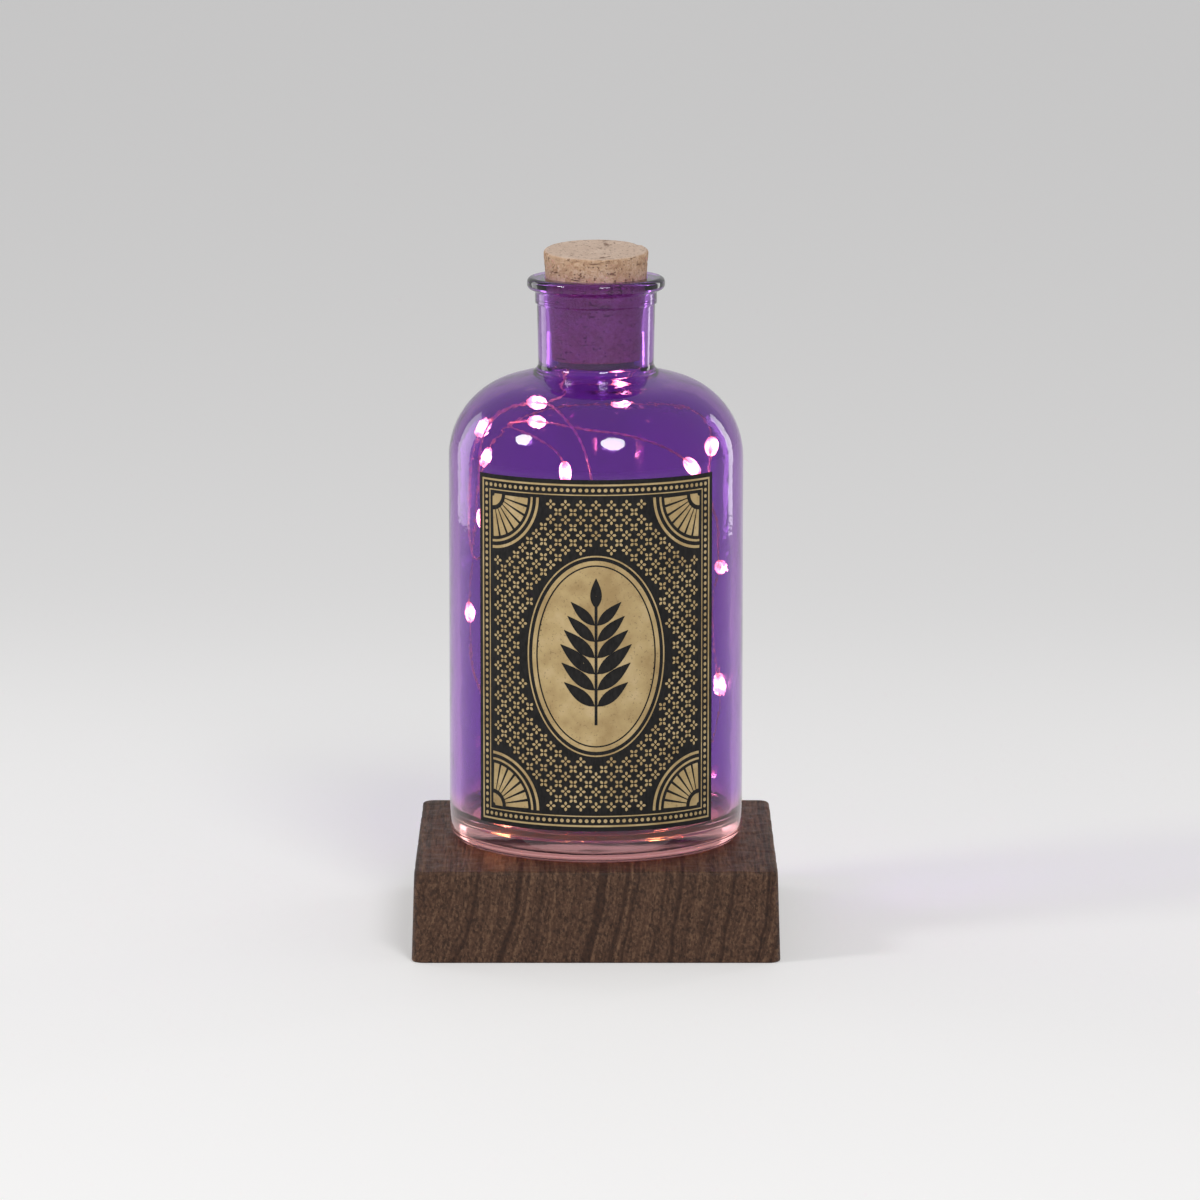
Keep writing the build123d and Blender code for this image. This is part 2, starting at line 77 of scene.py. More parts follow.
def plainMesh(name, points, faces=()):
    mesh = bpy.data.meshes.new(name)
    mesh.from_pydata(points, [], faces)
    return mesh


def shapeToMesh(name, shape):  # the shape is used up
    mesh = bpy.data.meshes.new(name)
    shape.to_mesh(mesh)
    shape.free()
    return mesh


def rideFor(piece, body, node):  # a rigid piece that stands for one node
    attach(piece, body)
    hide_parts(node)
    print(piece.name, "made,", len(piece.data.polygons), "faces")


# Node helpers


def setInputs(tree, node, inputs):  # sockets are linked, plain values are set
    for key, value in inputs.items():
        if isinstance(value, bpy.types.NodeSocket):
            tree.links.new(value, node.inputs[key])
        else:
            node.inputs[key].default_value = value


def addNode(tree, kind, inputs=None, **settings):
    node = tree.nodes.new(kind)
    for key, value in settings.items():
        setattr(node, key, value)
    setInputs(tree, node, inputs or {})
    return node


def nodeOut(tree, kind, inputs=None, output=0, **settings):
    return addNode(tree, kind, inputs, **settings).outputs[output]


def combine(tree, operation, *values):
    return nodeOut(tree, "ShaderNodeMath", dict(enumerate(values)), operation=operation)


def vectorMath(tree, operation, *values, output=0):
    return nodeOut(tree, "ShaderNodeVectorMath", dict(enumerate(values)), output, operation=operation)


def mapRange(tree, value, low=0.0, high=1.0, toLow=0.0, toHigh=1.0, **settings):
    ends = {"From Min": low, "From Max": high, "To Min": toLow, "To Max": toHigh}
    return nodeOut(tree, "ShaderNodeMapRange", {"Value": value, **ends}, **settings)


def makeGroup(name, treeKind, inputs, outputs):  # socket names with their kinds
    tree = bpy.data.node_groups.new(name, treeKind)
    for direction, sockets in (("OUTPUT", outputs), ("INPUT", inputs)):
        for socketName, kind in sockets.items():
            tree.interface.new_socket(socketName, in_out=direction, socket_type="NodeSocket" + kind)
    return tree, tree.nodes.new("NodeGroupInput").outputs


def geometryTree(name, sockets):
    mesh = {"Geometry": "Geometry"}
    return makeGroup(name, "GeometryNodeTree", {**mesh, **sockets}, mesh)


def endTree(tree, geometry, material):
    made = nodeOut(tree, "GeometryNodeRealizeInstances", {"Geometry": geometry})
    painted = nodeOut(tree, "GeometryNodeSetMaterial", {"Geometry": made, "Material": material})
    addNode(tree, "NodeGroupOutput", {"Geometry": painted})


def runTree(tree, mesh, values):  # the tree's result as a plain mesh
    carrier = linkObject(tree.name, mesh)
    modifier = carrier.modifiers.new(tree.name, "NODES")
    modifier.node_group = tree
    for item in tree.interface.items_tree:
        if item.in_out == "INPUT" and item.name in values:
            modifier[item.identifier] = values[item.name]
    result = evaluatedMesh(carrier)
    bpy.data.objects.remove(carrier)
    return result


def copiesTree():  # one shape set on many points
    sizes = {"Smallest": "Float", "Largest": "Float", "Seed": "Int"}
    tree, inputs = geometryTree("copiesOnPoints", {"Shape": "Object", "Finish": "Material", **sizes})
    shape = nodeOut(tree, "GeometryNodeObjectInfo", {"Object": inputs["Shape"]}, "Geometry")
    turn = nodeOut(tree, "GeometryNodeInputNamedAttribute", {"Name": "turn"}, data_type="FLOAT_VECTOR")
    sizeRange = {2: inputs["Smallest"], 3: inputs["Largest"], "Seed": inputs["Seed"]}
    size = nodeOut(tree, "FunctionNodeRandomValue", sizeRange, 1, data_type="FLOAT")
    copies = {"Points": inputs["Geometry"], "Instance": shape, "Rotation": turn, "Scale": size}
    endTree(tree, nodeOut(tree, "GeometryNodeInstanceOnPoints", copies), inputs["Finish"])
    return tree


copyTree = copiesTree()


def copiesOn(places, shapeMesh, material, smallest, largest, seed=0):  # each place has its turn
    points = plainMesh("copyPoints", [place for place, turn in places])
    turnData = points.attributes.new("turn", "FLOAT_VECTOR", "POINT").data
    for item, (place, turn) in zip(turnData, places):
        item.vector = turn
    shape = linkMesh("copyShape", shapeMesh, material)
    sizes = {"Smallest": smallest, "Largest": largest, "Seed": seed}
    result = runTree(copyTree, points, {"Shape": shape, "Finish": material, **sizes})
    bpy.data.objects.remove(shape)
    return result


def newFinish(name, inputs):
    material = bpy.data.materials.new(name)
    material.use_nodes = True
    tree = material.node_tree
    shader = tree.nodes["Principled BSDF"]
    setInputs(tree, shader, inputs)
    return material, tree, shader


# Shape helpers


def finishMesh(mesh):  # doubles merged, faces outward and smooth
    shape = bmesh.new()
    shape.from_mesh(mesh)
    bmesh.ops.remove_doubles(shape, verts=shape.verts, dist=mergeGap)
    bmesh.ops.recalc_face_normals(shape, faces=shape.faces)
    for face in shape.faces:
        face.smooth = True
    shape.to_mesh(mesh)
    shape.free()
    return mesh


def roundedProfile(corners, degreesPerStep):  # corners are radius, height and rounding
    line = []
    for index, (radius, height, rounding) in enumerate(corners):
        here = Vector((radius, height))
        if rounding == 0:
            line.append(here)
            continue
        before, after = [(Vector(corners[index + way][:2]) - here).normalized() for way in (-1, 1)]
        half = before.angle(after) / 2
        centre = here + (before + after).normalized() * (rounding / math.sin(half))
        start, end = [here + way * (rounding / math.tan(half)) - centre for way in (before, after)]
        startAngle = math.atan2(start.y, start.x)
        turn = (math.atan2(end.y, end.x) - startAngle + math.pi) % (2 * math.pi) - math.pi
        steps = max(2, round(abs(math.degrees(turn)) / degreesPerStep))
        for step in range(steps + 1):
            angle = startAngle + turn * step / steps
            line.append(centre + Vector((math.cos(angle), math.sin(angle))) * rounding)
    return line


def profileLine(corners, piece):  # rounded, with long runs split for waves, pits and wear
    line = roundedProfile(corners, piece["roundStep"])
    points = [line[0]]
    for start, end in zip(line, line[1:]):
        pieces = max(1, math.ceil((end - start).length / piece["longestRun"]))
        for step in range(1, pieces + 1):
            points.append(start.lerp(end, step / pieces))
    return points


def stitchRings(name, rings):  # a ring of one place is a pole
    points, faces, numbers = [], [], []
    for ring in rings:
        numbers.append(range(len(points), len(points) + len(ring)))
        points += ring
    for low, high in zip(numbers, numbers[1:]):
        count = max(len(low), len(high))
        for step in range(count):
            below = [low[place % len(low)] for place in (step, step + 1)]
            above = [high[place % len(high)] for place in (step + 1, step)]
            faces.append(tuple(dict.fromkeys(below + above)))  # a pole counts once
    return finishMesh(plainMesh(name, points, faces))


def pushedOut(point, reach):  # away from the axis
    return point + Vector((point.x, point.y, 0.0)).normalized() * reach


def roundPlace(radius, angle, height):  # angles from the front
    return Vector((radius * math.sin(angle), -radius * math.cos(angle), height))


def latheMesh(name, line, segments, move):
    rings = []
    for radius, height in line:
        angles = [2 * math.pi * step / segments for step in range(segments if radius > onAxis else 1)]
        rings.append([move(roundPlace(radius, angle, height)) for angle in angles])
    return stitchRings(name, rings)


def turned(x, y, degrees):
    angle = math.radians(degrees)
    return x * math.cos(angle) - y * math.sin(angle), x * math.sin(angle) + y * math.cos(angle)


# Camera, floor and lamps

cameraView = {
    "eye": (0.0, -1.790, 0.4002),
    "target": (0.0, 0.0, 0.0912),
    "lens": 197.55,
    "shiftX": 0.0033,
}
studio = {
    "floorHalf": 6.0,
    "floorColour": (0.74, 0.735, 0.73, 1.0),
    "floorRoughness": 0.7,
    "floorGlow": 0.32,  # keeps the far floor pale
    "skyColour": (0.95, 0.95, 0.96, 1.0),
    "skyStrength": 0.42,
    "skySeen": 0.55,
    "lampTarget": (0.0, 0.0, 0.1),
}
lamps = {  # place, size, watts and spread
    "keyLamp": ((0.33, -1.17, 1.05), (0.45, 0.45), 9.0, 180),
    "fillLamp": ((-1.05, -0.45, 0.85), (0.30, 0.30), 4.5, 180),
    "leftStrip": ((-0.57, 0.40, 0.20), (0.26, 0.50), 0.24, 100),  # a narrow beam leaves the floor even
    "rightStrip": ((0.55, 0.43, 0.20), (0.10, 0.50), 0.17, 100),
}


def placeAimed(name, data, place, target):
    obj = linkObject(name, data)
    obj.location = place
    obj.rotation_euler = (Vector(target) - obj.location).to_track_quat("-Z", "Y").to_euler()
    return obj


def seenDirectly(tree):  # one where the camera, a reflection or glass looks
    light = addNode(tree, "ShaderNodeLightPath").outputs
    mirrored = combine(tree, "MAXIMUM", light["Is Camera Ray"], light["Is Glossy Ray"])
    return combine(tree, "MAXIMUM", mirrored, light["Is Transmission Ray"])


cameraData = bpy.data.cameras.new("camera")
cameraData.lens = cameraView["lens"]
cameraData.shift_x = cameraView["shiftX"]
scene.camera = placeAimed("camera", cameraData, cameraView["eye"], cameraView["target"])

for lampName, (place, size, watts, spread) in lamps.items():
    lampData = bpy.data.lights.new(lampName, "AREA")
    lampData.size, lampData.size_y = size
    lampData.shape = "ELLIPSE" if size[0] == size[1] else "RECTANGLE"
    lampData.energy = watts
    lampData.spread = math.radians(spread)
    placeAimed(lampName, lampData, place, studio["lampTarget"])

world = bpy.data.worlds.new("studio")
world.use_nodes = True
scene.world = world
skyTree = world.node_tree
skyLevel = mapRange(skyTree, seenDirectly(skyTree), toLow=studio["skyStrength"], toHigh=studio["skySeen"])
setInputs(skyTree, skyTree.nodes["Background"], {"Color": studio["skyColour"], "Strength": skyLevel})

floorLook = {"Base Color": studio["floorColour"], "Emission Color": studio["floorColour"]}
floorLook["Roughness"] = studio["floorRoughness"]
floorMaterial, floorTree, floorShader = newFinish("paleFloor", floorLook)
floorGlow = combine(floorTree, "MULTIPLY", seenDirectly(floorTree), studio["floorGlow"])
setInputs(floorTree, floorShader, {"Emission Strength": floorGlow})
floorCorners = [(x * studio["floorHalf"], y * studio["floorHalf"], 0.0) for x, y in squareCorners]
floorMesh = plainMesh("floor", floorCorners, [(0, 1, 2, 3)])
linkMesh("floor", floorMesh, floorMaterial)
print("camera, floor and lamps placed")

# Effects that the finishes share

grainSpan = (0.3, 0.7)  # part of the noise that counts
speckEdge = 0.06  # softness of a speck's rim


def noiseGroup(name, sockets, output, **values):
    kinds = {"Vector": "Vector", **dict.fromkeys(sockets, "Float")}
    tree, inputs = makeGroup(name, "ShaderNodeTree", kinds, {output: "Float"})
    field = {"Vector": inputs["Vector"], "Scale": inputs["Scale"], **values}
    return tree, inputs, nodeOut(tree, "ShaderNodeTexNoise", field, "Fac")


grainGroup, grainIn, grainNoise = noiseGroup("fineGrain", ["Scale", "Low", "High"], "Grain", Detail=4.0)
grainOut = mapRange(grainGroup, grainNoise, *grainSpan, grainIn["Low"], grainIn["High"])
addNode(grainGroup, "NodeGroupOutput", {"Grain": grainOut})

speckValues = {"Detail": 2.0, "Roughness": 0.6}
speckGroup, speckIn, speckNoise = noiseGroup("darkSpecks", ["Scale", "Share"], "Specks", **speckValues)
speckRim = combine(speckGroup, "ADD", speckIn["Share"], speckEdge)
speckOut = mapRange(speckGroup, speckNoise, speckIn["Share"], speckRim, 1.0, 0.0)
addNode(speckGroup, "NodeGroupOutput", {"Specks": speckOut})


def grain(tree, place, scale, low=0.0, high=1.0):
    values = {"Vector": place, "Scale": scale, "Low": low, "High": high}
    return nodeOut(tree, "ShaderNodeGroup", values, "Grain", node_tree=grainGroup)


def specks(tree, place, scale, share):
    values = {"Vector": place, "Scale": scale, "Share": share}
    return nodeOut(tree, "ShaderNodeGroup", values, "Specks", node_tree=speckGroup)


def objectPlace(tree, stretch=(1.0, 1.0, 1.0)):
    place = nodeOut(tree, "ShaderNodeTexCoord", output="Object")
    return nodeOut(tree, "ShaderNodeMapping", {"Vector": place, "Scale": stretch})


def colourRamp(tree, factor, stops):
    ramp = addNode(tree, "ShaderNodeValToRGB", {"Fac": factor})
    while len(ramp.color_ramp.elements) < len(stops):
        ramp.color_ramp.elements.new(0.5)
    for element, (position, colour) in zip(ramp.color_ramp.elements, stops):
        element.position = position
        element.color = (*colour, 1.0)
    return ramp.outputs["Color"]


def paintOver(tree, colour, mask, share, tone):
    layers = {0: combine(tree, "MULTIPLY", mask, share), 6: colour, 7: (*tone, 1.0)}
    return nodeOut(tree, "ShaderNodeMix", layers, 2, data_type="RGBA")


def weighted(tree, weights, *values):  # the values added up by their weights
    total = 0.0
    for weight, value in zip(weights, values):
        total = combine(tree, "MULTIPLY_ADD", value, weight, total)
    return total


def dress(tree, shader, colour, rough, height, strength, distance):
    relief = {"Height": height, "Strength": strength, "Distance": distance}
    bump = nodeOut(tree, "ShaderNodeBump", relief)
    setInputs(tree, shader, {"Base Color": colour, "Roughness": rough, "Normal": bump})


def riseShare(tree, output, low, high, **settings):  # Z of Object or Normal, nought at low, one at high
    place = nodeOut(tree, "ShaderNodeTexCoord", output=output)
    rise = nodeOut(tree, "ShaderNodeSeparateXYZ", {"Vector": place}, "Z")
    return mapRange(tree, rise, low, high, **settings)


def heightShare(tree, low, high):  # heights above the block
    return riseShare(tree, "Object", blockTop + low, blockTop + high, interpolation_type="SMOOTHSTEP")


# Finishes

glassTint = {
    "glowPaintedFoot": (0.003, 0.016),  # heights where the foot's painted warm glow, standing for the lit string and block seen through the heel, turns violet
    "stippledFoot": (0.0006, 0.0026),  # heights where the rough underside turns clear
    "footRough": 0.2,
    # stops run from the foot's painted warm glow through pink to the violet of the glass
    "stops": [(0.0, (0.95, 0.56, 0.37)), (0.45, (0.80, 0.41, 0.52)), (1.0, (0.36, 0.135, 0.59))],
    "cloud": (0.12, (0.62, 0.16, 0.62)),  # share and colour
    "depth": {"Color": (0.62, 0.30, 0.80, 1.0), "Density": 7.0},
    "lampGamma": 0.5,  # lamps come through paler than the tint
}


def makeGlass():  # violet tint that pales into the thick foot, whose warm peach there is a painted glow of the lit string and block seen through the heel
    material, tree, shader = newFinish("violetGlass", {"IOR": 1.5, "Transmission Weight": 1.0})
    place = objectPlace(tree)
    tint = colourRamp(tree, heightShare(tree, *glassTint["glowPaintedFoot"]), glassTint["stops"])
    tint = paintOver(tree, tint, grain(tree, place, scale=25.0), *glassTint["cloud"])
    clear = heightShare(tree, *glassTint["stippledFoot"])
    footRough = mapRange(tree, clear, toLow=glassTint["footRough"], toHigh=0.0)
    rough = combine(tree, "MAXIMUM", footRough, grain(tree, place, scale=60.0, high=0.04))
    dress(tree, shader, tint, rough, grain(tree, place, scale=90.0), strength=0.08, distance=0.0006)
    depth = nodeOut(tree, "ShaderNodeVolumeAbsorption", glassTint["depth"])
    lampTint = nodeOut(tree, "ShaderNodeGamma", {"Color": tint, "Gamma": glassTint["lampGamma"]})
    lampPath = nodeOut(tree, "ShaderNodeBsdfTransparent", {"Color": lampTint})
    shadow = nodeOut(tree, "ShaderNodeLightPath", output="Is Shadow Ray")
    both = nodeOut(tree, "ShaderNodeMixShader", {0: shadow, 1: shader.outputs[0], 2: lampPath})
    setInputs(tree, tree.nodes["Material Output"], {"Surface": both, "Volume": depth})
    return material


walnut = {
    "centre": (-0.10, 0.0, 0.030),  # ring lines lean at the left of the front and stand at the right
    "sway": 0.0010,
    "ringScales": (330.0, 1100.0),  # of bands and lines
    "stops": [(0.2, (0.027, 0.0125, 0.0075)), (0.5, (0.086, 0.043, 0.026)), (0.8, (0.205, 0.114, 0.066))],
    "darkSpan": (0.33, 0.41),
    "weights": (0.36, 0.34, 0.30),  # of bands, lines and stipple in the tone
    "relief": (0.6, -1.0),  # of stipple and pores
    "darkLine": (0.55, (0.026, 0.011, 0.007)),  # share and colour
    "pore": (0.6, (0.018, 0.009, 0.006)),
}


def ringNoise(tree, reach, scale):
    field = {"W": reach, "Scale": scale, "Detail": 2.0}
    return nodeOut(tree, "ShaderNodeTexNoise", field, "Fac", noise_dimensions="1D")


def makeWood():  # fibres run front to back, growth rings cross the front
    material, tree, shader = newFinish("darkWalnut", {"Specular IOR Level": 0.22})
    place = objectPlace(tree)
    across = vectorMath(tree, "SUBTRACT", place, walnut["centre"])
    across = vectorMath(tree, "MULTIPLY", across, (1.0, 0.0, 1.0))
    reach = vectorMath(tree, "LENGTH", across, output="Value")
    swayPlace = objectPlace(tree, stretch=(1.0, 0.12, 0.6))
    sway = grain(tree, swayPlace, scale=90.0, low=-walnut["sway"], high=walnut["sway"])
    reach = combine(tree, "ADD", reach, sway)
    bands, lines = [ringNoise(tree, reach, scale) for scale in walnut["ringScales"]]
    darkLines = mapRange(tree, bands, *walnut["darkSpan"], 1.0, 0.0)
    stipple = grain(tree, objectPlace(tree, stretch=(1.0, 0.10, 0.7)), scale=1700.0)
    pores = specks(tree, objectPlace(tree, stretch=(1.0, 0.06, 0.6)), scale=1500.0, share=0.40)
    tone = weighted(tree, walnut["weights"], bands, lines, stipple)
    colour = colourRamp(tree, tone, walnut["stops"])
    colour = paintOver(tree, colour, darkLines, *walnut["darkLine"])
    colour = paintOver(tree, colour, pores, *walnut["pore"])
    height = weighted(tree, walnut["relief"], stipple, pores)
    rough = grain(tree, place, scale=300.0, low=0.46, high=0.70)
    dress(tree, shader, colour, rough, height, strength=0.5, distance=0.00016)
    return material


corkBark = {
    "stops": [(0.1, (0.40, 0.225, 0.130)), (0.5, (0.585, 0.385, 0.250)), (0.95, (0.74, 0.555, 0.42))],
    "weights": (0.28, 0.36, 0.36),  # of granules, fine grain and patches in the tone
    "relief": (1.0, -2.0),  # of fine grain and spots
    "paleUpward": (0.55, (0.76, 0.62, 0.53)),  # share and colour of the paler tone on faces that point up
    "spot": (0.75, (0.13, 0.060, 0.035)),
    "roughness": 0.85,
}


def makeCork():  # tan side, paler where the faces point up
    material, tree, shader = newFinish("naturalCork", {"Specular IOR Level": 0.25})
    place = objectPlace(tree)
    cells = {"Vector": place, "Scale": 900.0, "Randomness": 1.0}
    granules = nodeOut(tree, "ShaderNodeTexVoronoi", cells, "Color")
    shade = nodeOut(tree, "ShaderNodeSeparateColor", {"Color": granules})
    fine = grain(tree, place, scale=1900.0)
    patches = grain(tree, place, scale=170.0)
    tone = weighted(tree, corkBark["weights"], shade, fine, patches)
    colour = colourRamp(tree, tone, corkBark["stops"])
    upward = riseShare(tree, "Normal", low=0.55, high=0.95)
    colour = paintOver(tree, colour, upward, *corkBark["paleUpward"])
    dark = specks(tree, place, scale=1100.0, share=0.33)
    cracks = specks(tree, objectPlace(tree, stretch=(0.45, 0.45, 1.9)), scale=420.0, share=0.305)
    spots = combine(tree, "MAXIMUM", dark, cracks)
    colour = paintOver(tree, colour, spots, *corkBark["spot"])
    height = weighted(tree, corkBark["relief"], fine, spots)
    dress(tree, shader, colour, corkBark["roughness"], height, strength=0.7, distance=0.00018)
    return material


evenly = (1.0, 1.0, 1.0)
paperLook = {
    "plain": {"Specular IOR Level": 0.22},
    "stops": [(0.1, (0.006, 0.0055, 0.0055)), (0.9, (0.016, 0.0145, 0.014))],
    "scale": 1400.0,
    "stretch": (1.0, 1.0, 0.4),
    "rough": (220.0, 0.55, 0.75),  # scale, lowest and highest
    "bump": (0.25, 0.00006),  # strength and distance
}
goldLook = {
    "plain": {"Specular IOR Level": 0.4},
    "stops": [(0.0, (0.40, 0.27, 0.115)), (0.6, (0.53, 0.385, 0.18)), (1.0, (0.60, 0.45, 0.235))],
    "scale": 160.0,
    "stretch": evenly,
    "rough": (500.0, 0.45, 0.65),
    "bump": (0.15, 0.00005),
    "worn": ((1500.0, 0.33), (0.5, (0.20, 0.13, 0.06))),  # scale and share of specks, share and colour
}


def makeGrained(name, plain, stops, scale, stretch, rough, bump, worn=None):  # one grain in tone and relief
    material, tree, shader = newFinish(name, plain)
    place = objectPlace(tree)
    cells = grain(tree, objectPlace(tree, stretch), scale)
    colour = colourRamp(tree, cells, stops)
    if worn:
        speckLook, wornTone = worn
        colour = paintOver(tree, colour, specks(tree, place, *speckLook), *wornTone)
    dress(tree, shader, colour, grain(tree, place, *rough), cells, *bump)
    return material


plastic = {
    "plain": {"Specular IOR Level": 0.45},
    "coarser": 0.3,  # the roughness changes more slowly than the tone
    "rough": (0.42, 0.62),
    "bump": (0.3, 0.00006),
}
metal = {"plain": {"Metallic": 1.0}, "coarser": 0.2, "rough": (0.24, 0.42), "bump": (0.15, 0.00004)}
enamel = {**metal, "plain": {"Metallic": 0.35}}
innerFinishes = {  # look, dark and pale tone, the grain's scale and stretch, the pieces that wear it
    "capsulePlastic": (plastic, (0.07, 0.07, 0.078), (0.13, 0.13, 0.14), 1800.0, evenly, "battery_capsule"),
    "capPlastic": (plastic, (0.095, 0.095, 0.105), (0.165, 0.165, 0.175), 1400.0, evenly, "battery_cap"),
    "sealRubber": (
        plastic, (0.025, 0.025, 0.026), (0.055, 0.055, 0.056), 2600.0, evenly,
        "cap_seal", "wire_grommet",
    ),
    "boardLaminate": (plastic, (0.030, 0.190, 0.085), (0.070, 0.310, 0.150), 1100.0, evenly, "circuit_board"),
    "resistorBody": (plastic, (0.020, 0.020, 0.020), (0.045, 0.045, 0.046), 3000.0, evenly, "resistor"),
    "cellSteel": (
        metal, (0.62, 0.62, 0.63), (0.80, 0.80, 0.81), 1600.0, (1.0, 0.08, 1.0),
        "button_cell_1", "button_cell_2", "button_cell_3",
    ),
    "contactBrass": (
        metal, (0.62, 0.47, 0.22), (0.84, 0.68, 0.38), 1600.0, (0.1, 1.0, 1.0),
        "positive_contact", "negative_strip", "spring_contact",
    ),
    "wireCopper": (enamel, (0.82, 0.52, 0.38), (1.0, 0.76, 0.60), 900.0, (1.0, 1.0, 0.3), "inner_leads"),
}


resinGlow = {
    "strength": 80.0,
    "chipStrength": 60.0,
    "warmth": [
        (0.0, (0.004, 0.0012, 0.0005)),
        (0.28, (0.016, 0.006, 0.0025)),
        (0.52, (0.075, 0.038, 0.018)),
        (0.75, (0.30, 0.19, 0.10)),
        (1.0, (1.0, 0.82, 0.58)),
    ],
    "chipWarmth": [(0.0, (1.0, 0.66, 0.30)), (1.0, (1.0, 0.82, 0.52))],
    "phosphor": [(0.0, (0.9, 0.62, 0.15)), (1.0, (1.0, 0.82, 0.4))],
}


def makeResin():
    clear = {"Base Color": (1.0, 0.90, 0.74, 1.0), "Transmission Weight": 1.0, "IOR": 1.5}
    material, tree, shader = newFinish("litResin", {**clear, "Emission Strength": resinGlow["strength"]})
    place = objectPlace(tree)
    core = nodeOut(tree, "ShaderNodeAttribute", output="Fac", attribute_name="glow")
    core = combine(tree, "MULTIPLY", core, grain(tree, place, 900.0, 0.8, 1.0))
    light = colourRamp(tree, core, resinGlow["warmth"])
    setInputs(tree, shader, {"Emission Color": light, "Roughness": grain(tree, place, 1200.0, 0.04, 0.16)})
    return material


def makeChip():
    lit = {"Roughness": 0.4, "Emission Strength": resinGlow["chipStrength"]}
    material, tree, shader = newFinish("litChip", lit)
    dots = grain(tree, objectPlace(tree), scale=3000.0)
    light = colourRamp(tree, dots, resinGlow["chipWarmth"])
    phosphor = colourRamp(tree, dots, resinGlow["phosphor"])
    setInputs(tree, shader, {"Emission Color": light, "Base Color": phosphor})
    return material


violetGlass = makeGlass()
darkWalnut = makeWood()
naturalCork = makeCork()
blackPaper = makeGrained("blackPaper", **paperLook)
antiqueGold = makeGrained("antiqueGoldInk", **goldLook)
litResin = makeResin()
litChip = makeChip()
for finishName, (look, dark, pale, scale, stretch, *nodeNames) in innerFinishes.items():
    stops = [(0.1, dark), (0.9, pale)]
    rough = (scale * look["coarser"], *look["rough"])
    finish = makeGrained(finishName, look["plain"], stops, scale, stretch, rough, look["bump"])
    for nodeName in nodeNames:  # these pieces are kept from the frame
        slots = bpy.data.objects[nodeName].data.materials
        slots.clear()
        slots.append(finish)
wireCopper = bpy.data.materials["wireCopper"]
print("finishes made, inner pieces finished")

# String of lights

lightString = {
    "wall": 0.035,  # radius where none is given
    "route": [  # degrees from the front, height above the block and radius, from the exit on
        (-90, 0.1302, 0.00775), (-90, 0.1262, 0.00775), (-93, 0.1228, 0.012), (-95, 0.1216, 0.0185),
        (-95, 0.1196, 0.025), (-94, 0.1155, 0.0305), (-91, 0.109, 0.0338), (-89, 0.101), (-86, 0.0925),
        (-78, 0.0845), (-67, 0.079), (-57, 0.083), (-58, 0.0925), (-64, 0.102, 0.0348),
        (-69, 0.1105, 0.0336), (-72, 0.117, 0.030), (-72, 0.121, 0.0245), (-62, 0.1226, 0.0195),
        (-44, 0.1228, 0.0188), (-28, 0.122, 0.0225), (-17, 0.120, 0.0275), (-8, 0.116, 0.0316),
        (-3, 0.1095, 0.0343), (-1, 0.101), (3, 0.090), (4, 0.077), (-1, 0.065), (-3, 0.052), (1, 0.040),
        (3, 0.028), (0, 0.017, 0.0346), (-9, 0.0095, 0.033), (-28, 0.0079, 0.0326),
        (-52, 0.0079, 0.0326), (-77, 0.0081, 0.0326), (-102, 0.0079, 0.0324), (-128, 0.0079, 0.0322),
        (-154, 0.0079, 0.0322), (-179, 0.0083, 0.0324), (-204, 0.0096, 0.0328), (-227, 0.014, 0.034),
        (-247, 0.021), (-263, 0.031), (-266, 0.0435), (-253, 0.0525), (-250, 0.064), (-262, 0.073),
        (-279, 0.075), (-291, 0.0805), (-290, 0.089), (-299, 0.0955), (-302, 0.1035),
        (-295, 0.1108, 0.034), (-280, 0.1156, 0.0314), (-260, 0.1186, 0.028), (-236, 0.1204, 0.0252),
        (-209, 0.121, 0.024), (-181, 0.1208, 0.0244), (-155, 0.1194, 0.0266), (-134, 0.1156, 0.0298),
        (-119, 0.1095, 0.033), (-108, 0.1005, 0.0348), (-102, 0.088), (-97, 0.0745), (-87, 0.061),
        (-73, 0.0485), (-55, 0.040), (-36, 0.040), (-22, 0.049), (-18, 0.062), (-22, 0.075),
        (-15, 0.0875), (-17, 0.0985), (-12.5, 0.106, 0.0348), (-16, 0.1118, 0.0339),
        (-28, 0.1152, 0.0324), (-40, 0.1164, 0.0312), (-51, 0.117, 0.0298), (-61, 0.1172, 0.027),
        (-65, 0.1174, 0.0224), (-53, 0.1176, 0.0194), (-36, 0.1178, 0.0206), (-20, 0.1176, 0.0236),
        (-5, 0.1172, 0.0262), (9, 0.1166, 0.0282), (23, 0.1152, 0.0304), (37, 0.112, 0.0326),
        (50, 0.1065, 0.0345), (55, 0.098), (47, 0.0885), (34, 0.0805), (24, 0.069), (30, 0.0575),
        (41, 0.049), (46, 0.037), (38, 0.027), (26, 0.020),
    ],
    "held": 0.1235,  # below this height the string stays with the bottle
    "length": 0.9534,
    "diameter": 0.0006,
    "curveSteps": 16,
    "strandSides": 6,
    "strands": {"Step": 0.0006, "Pitch": 0.0052, "Radius": 0.00018},  # the tree's inputs
}


def routePlace(degrees, height, radius=lightString["wall"]):
    return roundPlace(radius, math.radians(degrees), height + blockTop)


def routeObject(points):
    curve = bpy.data.curves.new("stringRoute", "CURVE")
    curve.dimensions = "3D"
    curve.resolution_u = lightString["curveSteps"]
    spline = curve.splines.new("NURBS")
    spline.points.add(len(points) - 1)
    for splinePoint, place in zip(spline.points, points):
        splinePoint.co = (*place, 1.0)
    spline.order_u = 3
    spline.use_endpoint_u = True
    return linkObject("stringRoute", curve)


